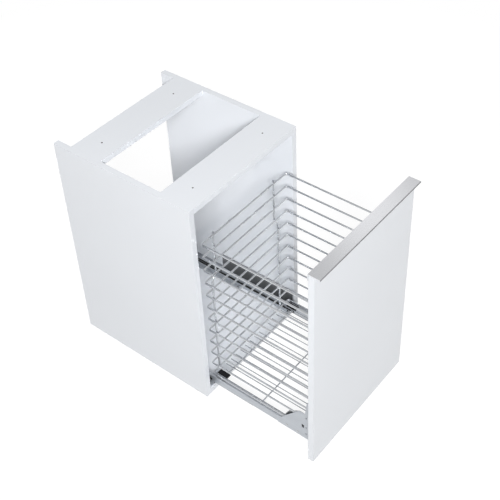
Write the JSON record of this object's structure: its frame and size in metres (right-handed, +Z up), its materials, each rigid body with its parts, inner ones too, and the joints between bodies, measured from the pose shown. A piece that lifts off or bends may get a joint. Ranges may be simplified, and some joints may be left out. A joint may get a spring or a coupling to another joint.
{
  "type": "pull-out base cabinet",
  "caption": "White kitchen base cabinet, open at the back, with a tall chrome wire basket fixed to a front that pulls out on telescopic runners by a grey edge handle.",
  "frame": {"origin": "centre of the carcass's underside", "axes": "+X to the right seen from the front, +Y to the back, +Z up; the basket pulls out towards -Y"},
  "size_m": [0.45, 0.8905, 0.72],
  "materials": {
    "white_board": "smooth white laminate",
    "handle_aluminium": "brushed",
    "basket_chrome": "bright chrome plate",
    "runner_steel": "zinc plate",
    "dark_steel": "dark coating",
    "fixing_steel": "zinc plate",
    "black_plastic": "moulded",
    "grey_plastic": "moulded",
    "bumper_rubber": "soft",
    "beech": "ribbed beech"
  },
  "bodies": {
    "cabinet": {"side_panel_left": "white_board", "side_panel_right": "white_board", "bottom_panel": "white_board", "front_rail": "white_board", "rear_rail": "white_board", "carcass_dowels": "beech", "cam_bolts": "fixing_steel", "cam_locks": "fixing_steel", "cabinet_profile_left": "runner_steel", "cabinet_profile_right": "runner_steel", "wall_plate_left": "dark_steel", "wall_plate_right": "dark_steel", "runner_screws": "dark_steel"},
    "pull_out": {"front_panel": "white_board", "edge_handle": "handle_aluminium", "handle_screws": "fixing_steel", "front_screws": "fixing_steel", "bracket_rivets": "fixing_steel", "closing_bumpers": "bumper_rubber", "drawer_profile_left": "runner_steel", "drawer_profile_right": "runner_steel", "front_bracket_left": "runner_steel", "front_bracket_right": "runner_steel", "basket_clip_left": "black_plastic", "basket_clip_right": "black_plastic", "basket_catch_left": "grey_plastic", "basket_catch_right": "grey_plastic", "basket_wire_01": "basket_chrome", "basket_wire_02": "basket_chrome", "basket_wire_03": "basket_chrome", "basket_wire_04": "basket_chrome", "basket_wire_05": "basket_chrome", "basket_wire_06": "basket_chrome", "basket_wire_07": "basket_chrome", "basket_wire_08": "basket_chrome", "basket_wire_09": "basket_chrome", "basket_wire_10": "basket_chrome", "basket_wire_11": "basket_chrome", "basket_base_frame": "basket_chrome", "basket_stay_left": "basket_chrome", "basket_stay_right": "basket_chrome", "floor_wires": "basket_chrome", "floor_cross_wire_rear": "basket_chrome", "floor_cross_wire_middle": "basket_chrome", "floor_cross_wire_front": "basket_chrome", "basket_end_bar_left": "basket_chrome", "basket_end_bar_right": "basket_chrome"},
    "intermediate_left": {"intermediate_profile_left": "runner_steel"},
    "lower_carriage_left": {"lower_cage_left": "grey_plastic", "lower_rollers_left": "fixing_steel"},
    "upper_carriage_left": {"upper_cage_left": "grey_plastic", "upper_rollers_left": "fixing_steel"},
    "intermediate_right": {"intermediate_profile_right": "runner_steel"},
    "lower_carriage_right": {"lower_cage_right": "grey_plastic", "lower_rollers_right": "fixing_steel"},
    "upper_carriage_right": {"upper_cage_right": "grey_plastic", "upper_rollers_right": "fixing_steel"}
  },
  "joints": [
    {"name": "pull_out_slide", "type": "slide", "parent": "cabinet", "child": "pull_out", "axis": [0, -1, 0], "range_m": [-0.362, 0]},
    {"name": "intermediate_left_slide", "type": "slide", "parent": "cabinet", "child": "intermediate_left", "axis": [0, -1, 0], "range_m": [-0.181, 0]},
    {"name": "lower_carriage_left_slide", "type": "slide", "parent": "cabinet", "child": "lower_carriage_left", "axis": [0, -1, 0], "range_m": [-0.0905, 0]},
    {"name": "upper_carriage_left_slide", "type": "slide", "parent": "cabinet", "child": "upper_carriage_left", "axis": [0, -1, 0], "range_m": [-0.2715, 0]},
    {"name": "intermediate_right_slide", "type": "slide", "parent": "cabinet", "child": "intermediate_right", "axis": [0, -1, 0], "range_m": [-0.181, 0]},
    {"name": "lower_carriage_right_slide", "type": "slide", "parent": "cabinet", "child": "lower_carriage_right", "axis": [0, -1, 0], "range_m": [-0.0905, 0]},
    {"name": "upper_carriage_right_slide", "type": "slide", "parent": "cabinet", "child": "upper_carriage_right", "axis": [0, -1, 0], "range_m": [-0.2715, 0]}
  ],
  "couplings": [
    {"joint": "intermediate_left_slide", "follows": "pull_out_slide", "ratio": 0.5},
    {"joint": "lower_carriage_left_slide", "follows": "pull_out_slide", "ratio": 0.25},
    {"joint": "upper_carriage_left_slide", "follows": "pull_out_slide", "ratio": 0.75},
    {"joint": "intermediate_right_slide", "follows": "pull_out_slide", "ratio": 0.5},
    {"joint": "lower_carriage_right_slide", "follows": "pull_out_slide", "ratio": 0.25},
    {"joint": "upper_carriage_right_slide", "follows": "pull_out_slide", "ratio": 0.75}
  ]
}
